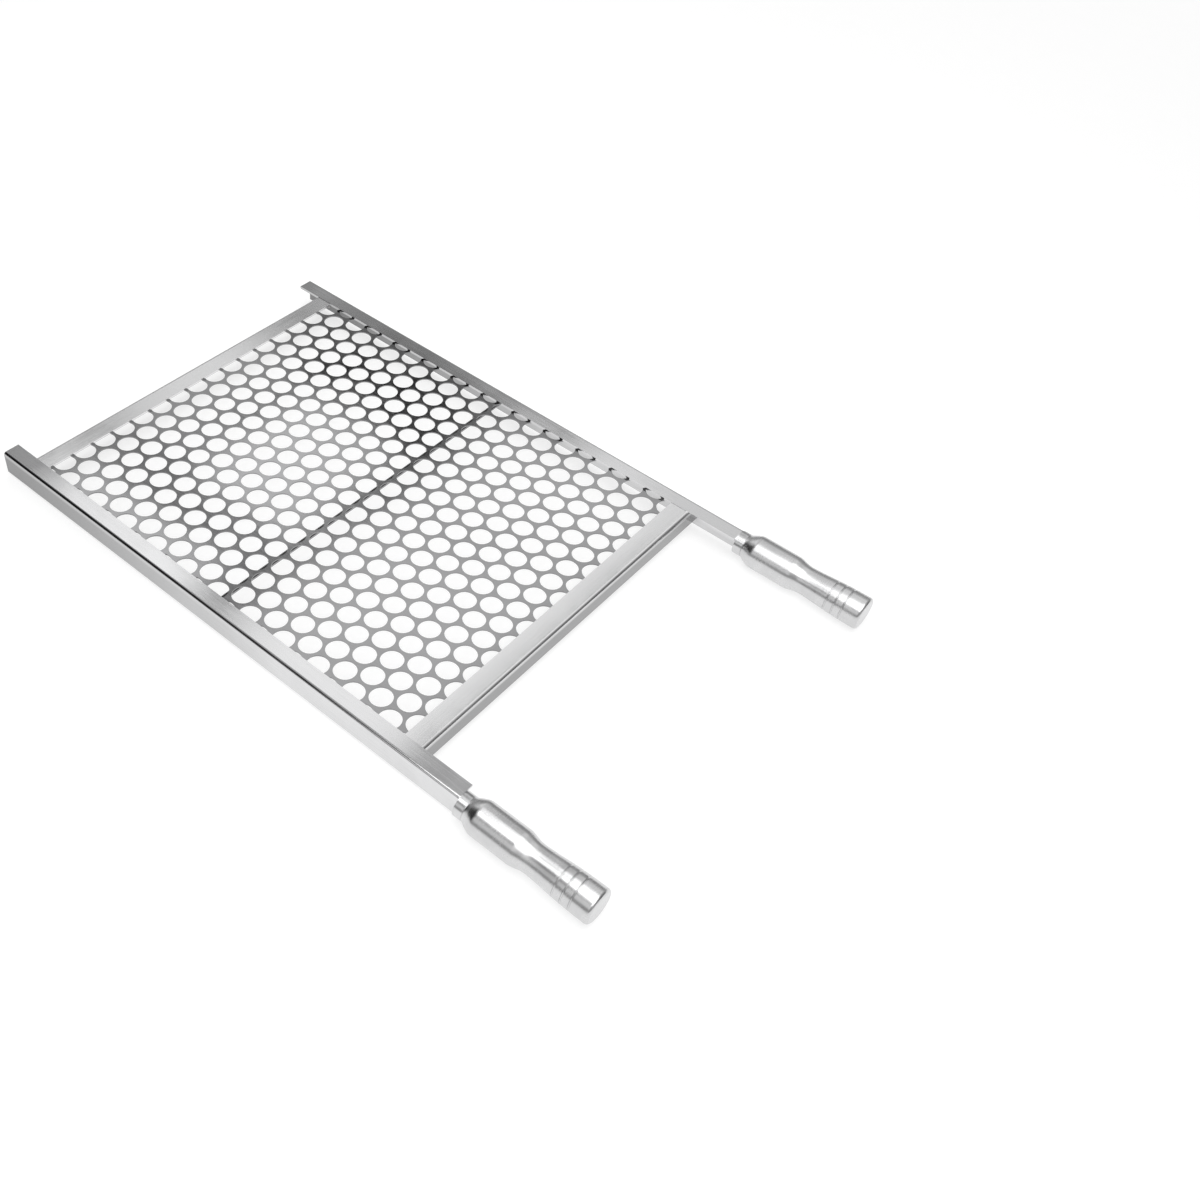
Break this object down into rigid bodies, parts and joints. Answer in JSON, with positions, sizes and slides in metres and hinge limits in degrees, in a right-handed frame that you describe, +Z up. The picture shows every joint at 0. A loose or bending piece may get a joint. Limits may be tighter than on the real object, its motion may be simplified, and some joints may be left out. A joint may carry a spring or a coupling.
{
  "type": "barbecue grill grate",
  "caption": "Flat barbecue grill grate: a sheet with round punched holes in a welded angle frame, with turned metal handles on the side rails.",
  "frame": {"origin": "centre of the overall length and width, level with the lowest point of the handle grips", "axes": "+X along the side rails towards the handles, +Y across to the right-hand rail, +Z up out of the cooking surface"},
  "size_m": [0.685, 0.4222, 0.0315],
  "materials": {
    "frame_steel": "satin rolled steel",
    "sheet_steel": "satin punched sheet",
    "rod_steel": "bright drawn",
    "collar_steel": "turned and polished",
    "grip_metal": "turned and polished",
    "stud_steel": "plain",
    "weld_metal": "rough bead"
  },
  "bodies": {
    "root": {"left_rail": "frame_steel", "right_rail": "frame_steel", "rear_cross_bar": "frame_steel", "front_cross_bar": "frame_steel", "perforated_sheet": "sheet_steel", "support_rod": "rod_steel", "left_handle_collar": "collar_steel", "right_handle_collar": "collar_steel", "left_handle_grip": "grip_metal", "right_handle_grip": "grip_metal", "left_handle_stud": "stud_steel", "right_handle_stud": "stud_steel", "rear_left_corner_weld": "weld_metal", "rear_right_corner_weld": "weld_metal", "front_left_corner_weld": "weld_metal", "front_right_corner_weld": "weld_metal", "left_sheet_tack_welds": "weld_metal", "right_sheet_tack_welds": "weld_metal", "rear_sheet_tack_welds": "weld_metal", "front_sheet_tack_welds": "weld_metal", "left_rod_end_weld": "weld_metal", "right_rod_end_weld": "weld_metal", "rod_tack_welds": "weld_metal", "left_collar_weld": "weld_metal", "right_collar_weld": "weld_metal"}
  },
  "joints": []
}
